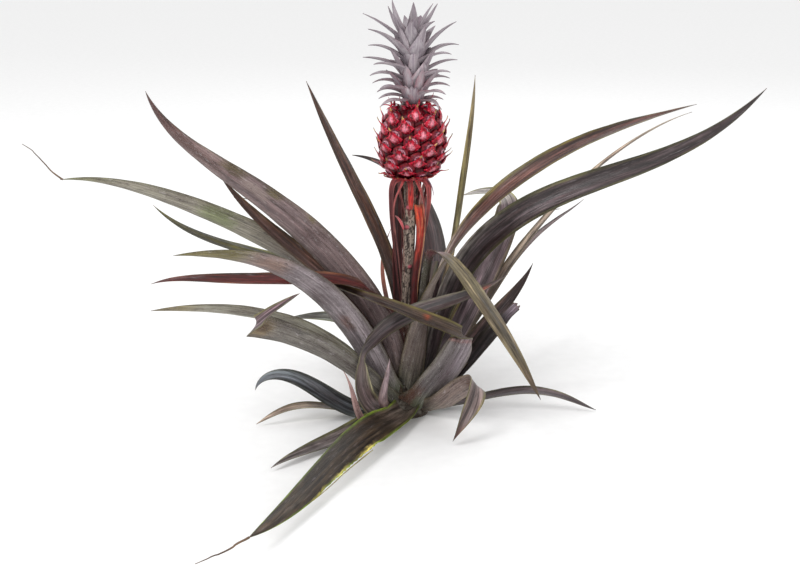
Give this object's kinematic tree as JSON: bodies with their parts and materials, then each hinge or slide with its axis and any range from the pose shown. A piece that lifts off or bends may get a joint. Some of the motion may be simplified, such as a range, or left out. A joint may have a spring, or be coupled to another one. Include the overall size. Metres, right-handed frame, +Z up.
{
  "type": "pineapple plant",
  "caption": "Ornamental pineapple plant: a rosette of long channelled leaves round a short stem, with a bare stalk that carries a small red fruit and its leafy crown.",
  "frame": {"origin": "middle of the flat cut under the stem, at ground level", "axes": "+Z up along the stem and stalk; -Y towards the side with the long leaf that lies out over the ground, +X to the right seen from that side"},
  "size_m": [0.7488, 0.7141, 0.4452],
  "materials": {
    "stem": "rough, ringed with leaf scars",
    "stalk": "dry, scurfy and speckled",
    "bract": "dry and papery, red",
    "leaf": "dark maroon-brown above, silver-grey scurf below, satin",
    "fruit": "waxy red eyes under pink scurfy bracts",
    "crown": "grey scurf, matte"
  },
  "bodies": {
    "root": {"bract_back": "bract", "bract_front": "bract", "bract_left": "bract", "bract_outer": "bract", "bract_right": "bract", "crown": "crown", "fruit": "fruit", "leaf_01": "leaf", "leaf_02": "leaf", "leaf_03": "leaf", "leaf_04": "leaf", "leaf_05": "leaf", "leaf_06": "leaf", "leaf_07": "leaf", "leaf_08_base": "leaf", "leaf_08_tip": "leaf", "leaf_09": "leaf", "leaf_10": "leaf", "leaf_11": "leaf", "leaf_12": "leaf", "leaf_13": "leaf", "leaf_14": "leaf", "leaf_15": "leaf", "leaf_16_base": "leaf", "leaf_16_tip": "leaf", "leaf_17": "leaf", "leaf_18": "leaf", "leaf_19": "leaf", "leaf_20": "leaf", "leaf_21": "leaf", "leaf_22": "leaf", "leaf_23": "leaf", "leaf_24": "leaf", "leaf_25_base": "leaf", "leaf_25_tip": "leaf", "leaf_26_base": "leaf", "leaf_26_tip": "leaf", "leaf_27_base": "leaf", "leaf_27_tip": "leaf", "leaf_28_base": "leaf", "leaf_28_tip": "leaf", "leaf_29": "leaf", "leaf_30": "leaf", "leaf_31": "leaf", "leaf_32": "leaf", "leaf_33": "leaf", "leaf_34": "leaf", "leaf_35": "leaf", "leaf_36": "leaf", "leaf_37": "leaf", "leaf_38": "leaf", "leaf_39": "leaf", "leaf_40": "leaf", "stalk": "stalk", "stem": "stem"}
  },
  "joints": []
}
